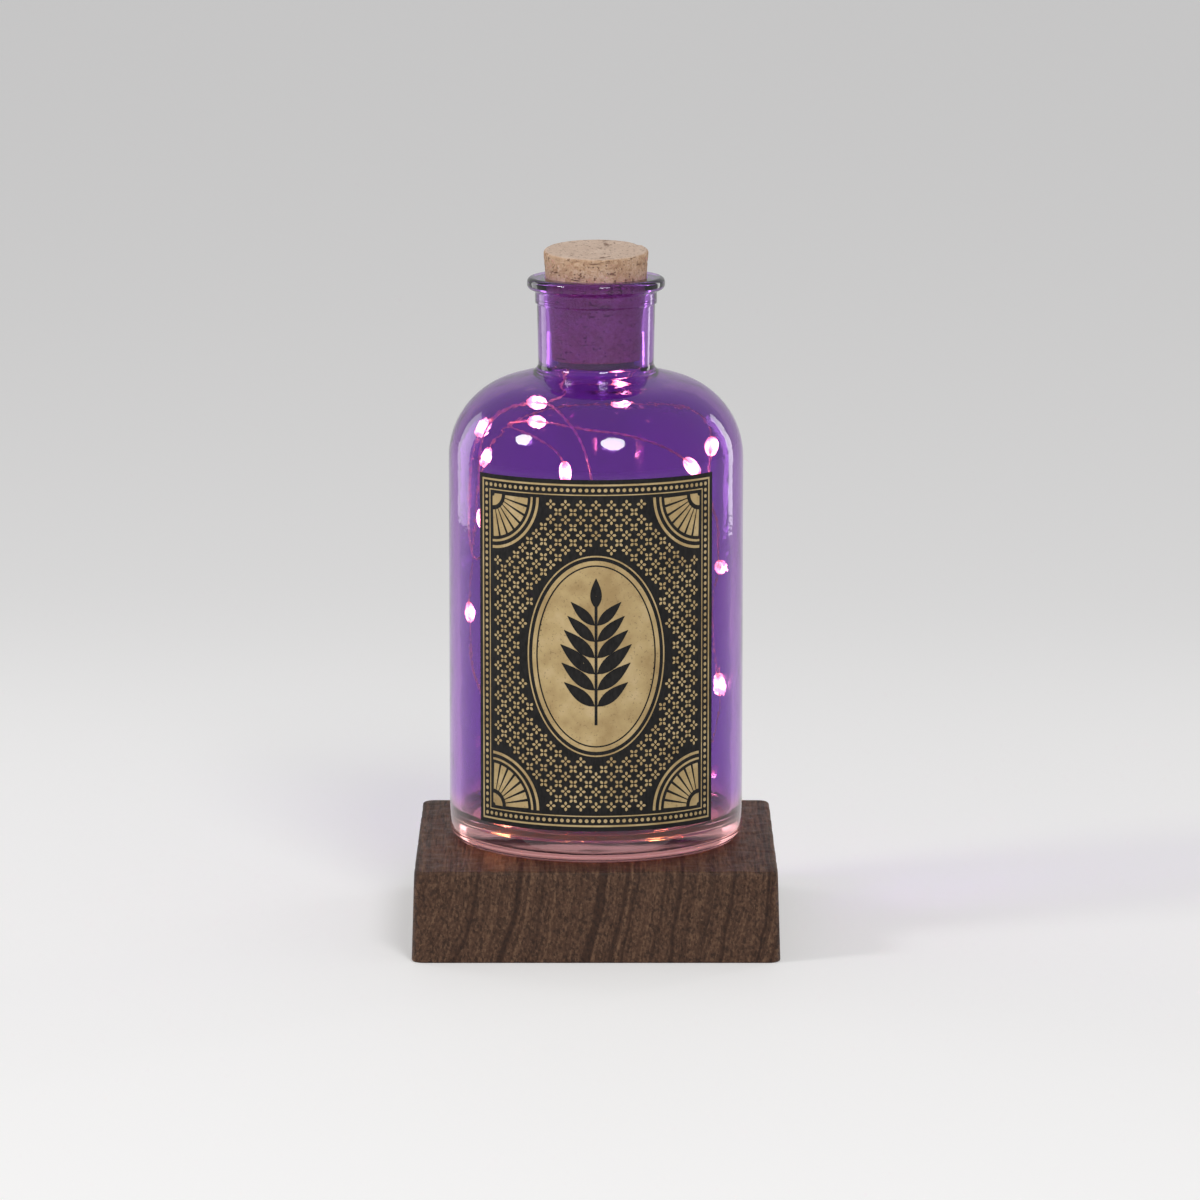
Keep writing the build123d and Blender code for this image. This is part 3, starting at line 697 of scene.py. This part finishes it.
def strandsTree():  # two wires twisted round the route
    sockets = {"Route": "Object", **dict.fromkeys(lightString["strands"], "Float")}
    tree, inputs = geometryTree("twistedStrands", sockets)
    line = nodeOut(tree, "GeometryNodeObjectInfo", {"Object": inputs["Route"]}, "Geometry")
    evenSteps = {"Curve": line, "Length": inputs["Step"]}
    even = nodeOut(tree, "GeometryNodeResampleCurve", evenSteps, mode="LENGTH")
    along = nodeOut(tree, "GeometryNodeSplineParameter", output="Length")
    tangent = nodeOut(tree, "GeometryNodeInputTangent")
    normal = nodeOut(tree, "GeometryNodeInputNormal")
    side = vectorMath(tree, "CROSS_PRODUCT", tangent, normal)
    turns = combine(tree, "MULTIPLY", combine(tree, "DIVIDE", along, inputs["Pitch"]), 2 * math.pi)
    wire = {"Resolution": lightString["strandSides"], "Radius": inputs["Radius"]}
    section = nodeOut(tree, "GeometryNodeCurvePrimitiveCircle", wire, "Curve")
    strands = addNode(tree, "GeometryNodeJoinGeometry")
    for phase in (0.0, math.pi):
        twist = combine(tree, "ADD", turns, phase)
        outward = vectorMath(tree, "MULTIPLY", normal, combine(tree, "COSINE", twist))
        sideways = vectorMath(tree, "MULTIPLY", side, combine(tree, "SINE", twist))
        offset = vectorMath(tree, "MULTIPLY", vectorMath(tree, "ADD", outward, sideways), inputs["Radius"])
        moved = nodeOut(tree, "GeometryNodeSetPosition", {"Geometry": even, "Offset": offset})
        tube = {"Curve": moved, "Profile Curve": section, "Fill Caps": True}
        setInputs(tree, strands, {0: nodeOut(tree, "GeometryNodeCurveToMesh", tube)})
    endTree(tree, strands.outputs[0], wireCopper)
    return tree


routePoints = [routePlace(*place) for place in lightString["route"]]
stringRoute = routeObject(routePoints)
stringPath = [vertex.co.copy() for vertex in evaluatedMesh(stringRoute).vertices]
strandValues = {"Route": stringRoute, **lightString["strands"]}
stringMesh = finishMesh(runTree(strandsTree(), bpy.data.meshes.new("strandStart"), strandValues))
bpy.data.objects.remove(stringRoute)
stringWire = linkMesh("string_strands", stringMesh, wireCopper)
print("string twisted,", len(stringMesh.polygons), "faces")

# Resin drops and their chips

resinDrop = {
    "places": [
        0.0045, 0.060, 0.102, 0.150, 0.199, 0.262, 0.302, 0.350, 0.398, 0.446,
        0.485, 0.533, 0.580, 0.624, 0.672, 0.7365, 0.7765, 0.828, 0.872, 0.910,
    ],
    "leadLength": 0.0260,  # the places are counted from its end
    "length": 0.0065,
    "diameter": 0.0035,
    "neck": 0.000432,  # radius round the wire at each end
    "swell": (2.3, 0.62),
    "rings": 16,
    "sides": 18,
    "smallest": 0.88,  # share of the full size
    "seed": 4,
    "chip": (0.0007, 0.0005, 0.0012),
    "chipBevel": 0.00012,
    "chipSide": 0.00055,
    "glowReach": 0.0024,
}

stringStations = [0.0]
for start, end in zip(stringPath, stringPath[1:]):
    stringStations.append(stringStations[-1] + (end - start).length)


def placeOnString(share):  # with the turn that lays a copy along the string
    goal = share * stringStations[-1]
    index = next(i for i, station in enumerate(stringStations) if station >= goal)
    start, end = stringPath[index - 1], stringPath[index]
    part = (goal - stringStations[index - 1]) / (stringStations[index] - stringStations[index - 1])
    return start.lerp(end, part), Vector((0.0, 0.0, 1.0)).rotation_difference(end - start).to_euler()


dropShares = [(resinDrop["leadLength"] + place) / lightString["length"] for place in resinDrop["places"]]
dropPlaces = [placeOnString(share) for share in dropShares]


def scatterOnString(name, shapeMesh, smallest, material):
    copies = copiesOn(dropPlaces, shapeMesh, material, smallest, 1.0, resinDrop["seed"])
    return linkMesh(name, finishMesh(copies), material)


def dropShape():  # barrel of resin with a thin neck round the wire at each end
    rings, neck = resinDrop["rings"], resinDrop["neck"]
    fullness, bluntness = resinDrop["swell"]
    line = []
    for step in range(rings + 1):
        share = step / rings * 2 - 1
        swell = max(0.0, 1 - abs(share) ** fullness) ** bluntness
        radius = neck + (resinDrop["diameter"] / 2 - neck) * swell
        line.append(Vector((radius, share * resinDrop["length"] / 2)))
    line = [Vector((0.0, line[0].y)), *line, Vector((0.0, line[-1].y))]
    mesh = latheMesh("resinDrop", line, resinDrop["sides"], lambda point: point)
    glow = mesh.attributes.new("glow", "FLOAT", "POINT")  # hottest beside the chip
    chipSpot = Vector((resinDrop["chipSide"], 0.0, 0.0))
    chipCover = resinDrop["diameter"] / 2 - resinDrop["chipSide"]
    for vertex, item in zip(mesh.vertices, glow.data):
        away = (vertex.co - chipSpot).length - chipCover
        item.value = max(0.0, 1 - away / resinDrop["glowReach"])
    return mesh


def chipShape():
    chip = bmesh.new()
    bmesh.ops.create_cube(chip, size=1.0)
    bmesh.ops.scale(chip, vec=resinDrop["chip"], verts=chip.verts)
    bmesh.ops.translate(chip, vec=(resinDrop["chipSide"], 0.0, 0.0), verts=chip.verts)
    bevel = resinDrop["chipBevel"]
    bmesh.ops.bevel(chip, geom=chip.edges, offset=bevel, segments=2, affect="EDGES", profile=0.5)
    return shapeToMesh("chip", chip)


stringDrops = scatterOnString("string_drops", dropShape(), resinDrop["smallest"], litResin)
stringChips = scatterOnString("string_chips", chipShape(), 1.0, litChip)

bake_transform(stringWire)
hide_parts("led_string_wire", "led_string_lead")
rideFor(stringDrops, "bottle", "led_drops")
rideFor(stringChips, "bottle", "led_chips")
print("drops and chips set on the string, length", round(stringStations[-1], 4))

# Bottle

bottleGlass = {
    "outside": [  # radius, height and rounding of each corner, from the foot up
        (0.0330, 0.0, 0.0008),  # rim of the punt
        (0.0405, 0.0, 0.0040),  # heel
        (0.0405, 0.123948, 0.0230),  # shoulder
        (0.0158, 0.130567, 0.0025),  # foot of the neck
        (0.0162, 0.1489, 0.0004),
        (0.0167, 0.1489, 0.0003),  # collar
        (0.0167, 0.1522, 0.0005),
        (0.0189, 0.1529, 0.0014),  # lip
        (0.0189, 0.1560, 0.0014),
    ],
    "inside": [  # from the mouth down
        (0.0139, 0.1560, 0.0008),
        (0.01275, 0.14162, 0.0060),  # foot of the cork's seat
        (0.01275, 0.128278, 0.0030),
        (0.0375, 0.121647, 0.0200),  # shoulder
        (0.0375, 0.0050, 0.0045),  # heel
    ],
    "punt": (0.0025, 12),  # rise and steps
    "floor": (0.0025, 14),
    "footGap": 0.00004,  # keeps the foot off the block's top face
    "roundStep": 5.0,
    "segments": 224,
    "longestRun": 0.002,
    "outerWave": 0.000015,  # less than the gap behind the label
    "innerWave": 0.00015,
    "innerReach": 0.0383,  # a smaller radius is the inner wall
    "innerBand": (0.009, 0.117647),  # heights where that wall is wavy
    "flatFoot": 0.004,
    "waveScale": 42.0,
    "waveStretch": 0.45,
}


def dome(radius, rim, rise, steps):  # from the axis to the rim
    return [(radius * step / steps, rim + rise * (1 - (step / steps) ** 2), 0.0) for step in range(steps)]


def bottleLine():
    outside, inside = bottleGlass["outside"], bottleGlass["inside"]
    under = dome(*outside[0][:2], *bottleGlass["punt"])
    floor = dome(*inside[-1][:2], *bottleGlass["floor"])
    return profileLine([*under, *outside, *inside, *reversed(floor)], bottleGlass)


def moveGlass(point):
    glass = bottleGlass
    radius = math.hypot(point.x, point.y)
    placed = Vector((point.x, point.y, point.z + blockTop + glass["footGap"]))
    low, high = glass["innerBand"]
    inside = radius < glass["innerReach"] and low < point.z < high
    size = glass["innerWave"] if inside else glass["outerWave"]
    away = 1 if point.z > glass["flatFoot"] else point.z / glass["flatFoot"]
    place = Vector((point.x, point.y, point.z * glass["waveStretch"])) * glass["waveScale"]
    return pushedOut(placed, noise.noise(place) * size * away)


bottleMesh = latheMesh("bottle_glass", bottleLine(), bottleGlass["segments"], moveGlass)
rideFor(linkMesh("bottle_glass", bottleMesh, violetGlass), "bottle", "bottle")

# Label with a generic ornament of its own

labelSheet = {
    "width": 0.072,
    "foot": 0.0095,
    "height": 0.0964,
    "radius": 0.04053,
    "thickness": 0.00015,
    "inkGap": 0.00001,
    "inkHeight": 0.00003,
    "columns": 90,
    "rows": 48,
}
halfWide, labelMiddle = labelSheet["width"] / 2, labelSheet["height"] / 2
ornament = {
    "frameLines": [(0.0012, 0.0017), (0.0040, 0.0043)],
    "frameSteps": (60, 80),
    "beadInset": 0.00285,
    "beadPitch": 0.0017,
    "beadSize": 0.00052,
    "fanRadius": 0.0150,
    "fanInset": 0.0052,
    "fanRays": 7,
    "raySide": 0.14,  # of a ray's pitch, left bare
    "rayRings": (0.30, 0.38, 0.46, 0.54, 0.62, 0.70, 0.78),  # shares of the fan's radius
    "fanBands": [((0.84, 0.88), 24), ((0.95, 1.0), 24), ((0.05, 0.22), 10)],
    "oval": (0.0178, 0.0262),
    "ovalRings": (0.02, 0.2, 0.4, 0.6, 0.8, 1.0),
    "ovalSteps": 96,
    "ovalLine": (0.0010, 0.0014),
    "floretPitch": 0.00414,
    "floretSize": 0.00135,
    "floretMargin": (0.0062, 0.0066),
    "ovalGap": 0.0032,
    "fanGap": 0.0018,
}
fanAcross, fanUp = halfWide - ornament["fanInset"], labelMiddle - ornament["fanInset"]
sprig = {
    "line": (-0.0016, -0.0012),
    "stemHalf": 0.0004,
    "stemRun": 0.0012,
    "stemEnds": (0.72, 0.52),  # shares of the oval's half height, down and up
    "pairs": 6,
    "pairsFrom": 0.16,
    "pairsSpan": 0.82,
    "leafLength": (0.70, 0.36),  # of the oval's half width, and what it loses away from the longest
    "longestAt": 0.30,
    "leafLean": (38, 8),
    "leafWidth": 0.30,
    "tipLeaf": (0.46, 0.17),
    "leafSteps": 10,
    "leafSwell": 0.8,
    "leafPoint": 0.02,
}


def wrapPoint(across, up, above):  # flat place on the paper, bent round the glass
    face = labelSheet["radius"] + labelSheet["thickness"]
    return roundPlace(face + above, across / face, blockTop + labelSheet["foot"] + up)


def addBands(flat, lines, closed=False):  # faces between each line of points and the next
    for first, second in zip(lines, lines[1:]):
        lower = [flat.verts.new((*point, 0.0)) for point in first]
        upper = [flat.verts.new((*point, 0.0)) for point in second]
        for step in range(len(lower) if closed else len(lower) - 1):
            after = (step + 1) % len(lower)
            flat.faces.new((lower[step], lower[after], upper[after], upper[step]))


def splitLine(start, end, steps):
    return [tuple(Vector(start).lerp(Vector(end), step / steps)) for step in range(steps + 1)]


def frameLine(inset, steps=ornament["frameSteps"]):  # steps across and up
    half, high = halfWide - inset, labelMiddle - inset
    corners = [(x * half, labelMiddle + y * high) for x, y in squareCorners]
    line = []
    for start, end, count in zip(corners, corners[1:] + corners[:1], [*steps, *steps]):
        line += splitLine(start, end, count)[:-1]
    return line


def arcLine(centre, size, start, end, steps):  # size is half the width and half the height
    angles = [math.radians(start + (end - start) * step / steps) for step in range(steps + 1)]
    return [(centre[0] + size[0] * math.cos(a), centre[1] + size[1] * math.sin(a)) for a in angles]


def ovalLine(share=1.0, grow=0.0):
    half, high = ornament["oval"]
    size = (half * share + grow, high * share + grow)
    return arcLine((0.0, labelMiddle), size, 0, 360, ornament["ovalSteps"])[:-1]


def addFan(flat, centre, start):  # quarter fan in a corner of the frame
    pitch = 90 / ornament["fanRays"]
    bands = []
    for ray in range(ornament["fanRays"]):
        first = start + pitch * (ray + ornament["raySide"])
        last = start + pitch * (ray + 1 - ornament["raySide"])
        bands.append((ornament["rayRings"], first, last, 4))
    for shares, steps in ornament["fanBands"]:
        bands.append((shares, start, start + 90, steps))
    for shares, first, last, steps in bands:
        sizes = [(ornament["fanRadius"] * share,) * 2 for share in shares]
        addBands(flat, [arcLine(centre, size, first, last, steps) for size in sizes])


def paperFlat():
    flat = bmesh.new()
    heights = [labelSheet["height"] * row / labelSheet["rows"] for row in range(labelSheet["rows"] + 1)]
    columns = labelSheet["columns"]
    addBands(flat, [splitLine((-halfWide, up), (halfWide, up), columns) for up in heights])
    return flat


def printFlat():
    flat = bmesh.new()
    for insets in ornament["frameLines"]:
        addBands(flat, [frameLine(inset) for inset in insets], closed=True)
    for quarter, (right, top) in enumerate(squareCorners):
        addFan(flat, (right * fanAcross, labelMiddle + top * fanUp), 90 * quarter)
    addBands(flat, [ovalLine(share) for share in ornament["ovalRings"]], closed=True)
    addBands(flat, [ovalLine(grow=grow) for grow in ornament["ovalLine"]], closed=True)
    return flat


def addLeaf(flat, base, degrees, length, width):
    direction = Vector(turned(1.0, 0.0, degrees))
    square = Vector((-direction.y, direction.x))
    left, right = [], []
    for step in range(sprig["leafSteps"] + 1):
        share = step / sprig["leafSteps"]
        half = width / 2 * math.sin(math.pi * share ** sprig["leafSwell"]) + width * sprig["leafPoint"]
        spine = Vector(base) + direction * (length * share)
        left.append(tuple(spine + square * half))
        right.append(tuple(spine - square * half))
    addBands(flat, [right, left])


def sprigFlat():  # dark leaf sprig and line on the oval
    flat = bmesh.new()
    half, high = ornament["oval"]
    addBands(flat, [ovalLine(grow=grow) for grow in sprig["line"]], closed=True)
    foot, tip = labelMiddle - high * sprig["stemEnds"][0], labelMiddle + high * sprig["stemEnds"][1]
    steps = math.ceil((tip - foot) / sprig["stemRun"])
    stem = sprig["stemHalf"]
    addBands(flat, [splitLine((x, foot), (x, tip), steps) for x in (stem, -stem)])
    longest, loss = sprig["leafLength"]
    lean, spread = sprig["leafLean"]
    for pair in range(sprig["pairs"]):
        share = pair / sprig["pairs"]
        up = foot + (tip - foot) * (sprig["pairsFrom"] + share * sprig["pairsSpan"])
        length = half * (longest - loss * abs(share - sprig["longestAt"]))
        degrees = lean + spread * share
        for base, angle in (((stem, up), degrees), ((-stem, up), 180 - degrees)):
            addLeaf(flat, base, angle, length, length * sprig["leafWidth"])
    tipLength, tipWidth = sprig["tipLeaf"]
    addLeaf(flat, (0.0, tip - stem), 90, half * tipLength, half * tipWidth)
    return flat


def stampPattern(flat, outlines, places, size):  # places are across, up and turn
    corners, faces = [], []
    for outline in outlines:
        faces.append(tuple(range(len(corners), len(corners) + len(outline))))
        corners += [(x, y, 0.0) for x, y in outline]
    spots = [((across, up, 0.0), (0.0, 0.0, math.radians(turn))) for across, up, turn in places]
    flat.from_mesh(copiesOn(spots, plainMesh("stamp", corners, faces), antiqueGold, size, size))


def beadPlaces():
    inset = ornament["beadInset"]
    sides = (labelSheet["width"], labelSheet["height"])
    steps = [round((side - 2 * inset) / ornament["beadPitch"]) for side in sides]
    return [(*point, 0) for point in frameLine(inset, steps)]


def floretPlaces():  # staggered rows between the oval, the fans and the frame
    pitch = ornament["floretPitch"]
    ovalHalf, ovalHigh = [size + ornament["ovalGap"] for size in ornament["oval"]]
    fanReach = ornament["fanRadius"] + ornament["fanGap"]
    widest, tallest = halfWide - ornament["floretMargin"][0], labelMiddle - ornament["floretMargin"][1]
    rows, columns = int(tallest / (pitch / 2)), math.ceil(halfWide / pitch)
    places = []
    for row in range(-rows, rows + 1):
        rise = row * pitch / 2
        for column in range(-columns, columns + 1):
            across = (column + (0.5 if row % 2 else 0.0)) * pitch
            inOval = math.hypot(across / ovalHalf, rise / ovalHigh) < 1
            inFan = math.hypot(fanAcross - abs(across), fanUp - abs(rise)) < fanReach
            if abs(across) <= widest and abs(rise) <= tallest and not inOval and not inFan:
                places.append((across, labelMiddle + rise, 45 if row % 2 else 0))
    return places


def wrapped(name, flat, base, thickness, material):  # flat faces thickened, then bent round the glass
    bmesh.ops.remove_doubles(flat, verts=flat.verts, dist=mergeGap)
    bmesh.ops.recalc_face_normals(flat, faces=flat.faces)
    for face in flat.faces:
        if face.normal.z < 0:
            face.normal_flip()
    top = bmesh.ops.extrude_face_region(flat, geom=flat.faces[:])
    for item in top["geom"]:
        if isinstance(item, bmesh.types.BMVert):
            item.co.z = thickness
    for vertex in flat.verts:
        vertex.co = wrapPoint(vertex.co.x, vertex.co.y, vertex.co.z + base)
    bmesh.ops.recalc_face_normals(flat, faces=flat.faces)
    return linkMesh(name, shapeToMesh(name, flat), material)


petal = [(0.18, 0.0), (0.45, 0.26), (0.8, 0.24), (1.0, 0.0), (0.8, -0.24), (0.45, -0.26)]
petals = [[turned(x, y, degrees) for x, y in petal] for degrees in range(0, 360, 90)]
bead = [turned(1.0, 0.0, degrees) for degrees in range(0, 360, 36)]
goldFlat = printFlat()
stampPattern(goldFlat, [bead], beadPlaces(), ornament["beadSize"])
stampPattern(goldFlat, petals, floretPlaces(), ornament["floretSize"])

paper, ink, inkGap = labelSheet["thickness"], labelSheet["inkHeight"], labelSheet["inkGap"]
labelObject = wrapped("label_paper", paperFlat(), -paper, paper, blackPaper)
labelPrint = wrapped("label_print", goldFlat, inkGap, ink, antiqueGold)
labelSprig = wrapped("label_sprig", sprigFlat(), inkGap + ink, ink, blackPaper)
for piece in (labelObject, labelPrint, labelSprig):
    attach(piece, "bottle")
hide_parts("label")
print("label wrapped,", len(labelPrint.data.polygons), "print faces")

# Cork

corkStopper = {
    "footRadius": 0.012,
    "flare": 0.08,
    "top": 0.1635,
    "foot": 0.1335,
    "slant": 4.5,
    "slantPower": 6,  # keeps the slant to the top
    "rimRound": 0.0009,
    "footRound": 0.0006,
    "bore": 0.00825,
    "boreTop": 0.15805,
    "boreRound": 0.0003,
    "roundStep": 18.0,
    "segments": 200,
    "longestRun": 0.0005,
    "skin": 0.001,  # nearer to the bore stays smooth
    "roughness": 0.00007,
    "roughScale": 900.0,
    "pitDepth": 0.00026,
    "pitScale": 330.0,
    "pitStretch": (0.6, 0.6, 1.6),
    "pitFrom": 0.42,
    "pitSpan": 0.3,
    "mouthShare": 0.75,  # of the height, below which the mouth holds it
    "pressed": 0.5,
    "topShare": 0.97,
}


def corkLine():
    cork = corkStopper
    topRadius = cork["footRadius"] + (cork["top"] - cork["foot"]) * cork["flare"]
    corners = [
        (0.0, cork["boreTop"], 0.0),
        (cork["bore"], cork["boreTop"], cork["boreRound"]),
        (cork["bore"], cork["foot"], cork["boreRound"]),
        (cork["footRadius"], cork["foot"], cork["footRound"]),
        (topRadius, cork["top"], cork["rimRound"]),
        (0.0, cork["top"], 0.0),
    ]
    return profileLine(corners, cork)


def moveCork(point):
    cork = corkStopper
    radius = math.hypot(point.x, point.y)
    share = (point.z - cork["foot"]) / (cork["top"] - cork["foot"])
    placed = Vector((point.x, point.y, point.z + blockTop))
    if radius <= cork["bore"] + cork["skin"] and point.z <= cork["boreTop"] + cork["skin"]:
        return placed
    placed.z += point.y * math.tan(math.radians(cork["slant"])) * max(0.0, share) ** cork["slantPower"]
    shallow = noise.noise(point * cork["roughScale"]) * cork["roughness"]
    pit = noise.noise(point * Vector(cork["pitStretch"]) * cork["pitScale"])
    depth = max(0.0, -pit - cork["pitFrom"]) / cork["pitSpan"] * cork["pitDepth"]
    inward = (shallow - depth) * (1.0 if share > cork["mouthShare"] else cork["pressed"])
    if share <= cork["topShare"]:
        return pushedOut(placed, inward)
    placed.z += inward
    return placed


corkMesh = latheMesh("cork_stopper", corkLine(), corkStopper["segments"], moveCork)
rideFor(linkMesh("cork_stopper", corkMesh, naturalCork), "cork", "cork")

# Wooden block

woodBlock = {
    "half": 0.05,
    "draft": 1.8,
    "cornerRadius": 0.003,
    "topRound": 0.0008,
    "footRound": 0.0006,
    "roundStep": 15.0,
    "longestRun": 0.0013,
    "sideSteps": 40,
    "cornerSteps": 8,
    "wear": 0.00022,
    "wearScale": 170.0,
    "wearDepth": 0.0016,
    "wearFrom": 0.985,  # share of the top's half width
}
topHalf = woodBlock["half"] - math.tan(math.radians(woodBlock["draft"])) * blockTop


def squareRing(half, corner, height):
    inner = half - corner
    cornerSteps, sideSteps = woodBlock["cornerSteps"], woodBlock["sideSteps"]
    quarterLine = []
    for step in range(cornerSteps + 1):
        x, y = turned(corner, 0.0, 90 * step / cornerSteps)
        quarterLine.append((inner + x, inner + y))
    for step in range(1, sideSteps):
        quarterLine.append((inner - 2 * inner * step / sideSteps, half))
    return [Vector((*turned(x, y, 90 * quarter), height)) for quarter in range(4) for x, y in quarterLine]


def wornPlace(point):  # edges a little worn, the seat and the foot flat
    nearEdge = topHalf * woodBlock["wearFrom"]
    if max(abs(point.x), abs(point.y)) > nearEdge and point.z > blockTop - woodBlock["wearDepth"]:
        worn = max(0.0, noise.noise(point * woodBlock["wearScale"])) * woodBlock["wear"]
        point.z -= worn
        for axis in (0, 1):
            if abs(point[axis]) > nearEdge:
                point[axis] -= math.copysign(worn, point[axis])
    return point


def blockMesh():
    block = woodBlock
    corners = [
        (0.0, 0.0, 0.0),
        (block["half"], 0.0, block["footRound"]),
        (topHalf, blockTop, block["topRound"]),
        (0.0, blockTop, 0.0),
    ]
    rings = []
    for half, height in profileLine(corners, block):
        if half < onAxis:
            rings.append([Vector((0.0, 0.0, height))])
            continue
        ring = squareRing(half, block["cornerRadius"] * half / block["half"], height)
        rings.append([wornPlace(point) for point in ring])
    return stitchRings("block_wood", rings)


rideFor(linkMesh("block_wood", blockMesh(), darkWalnut), "base", "wood_base")
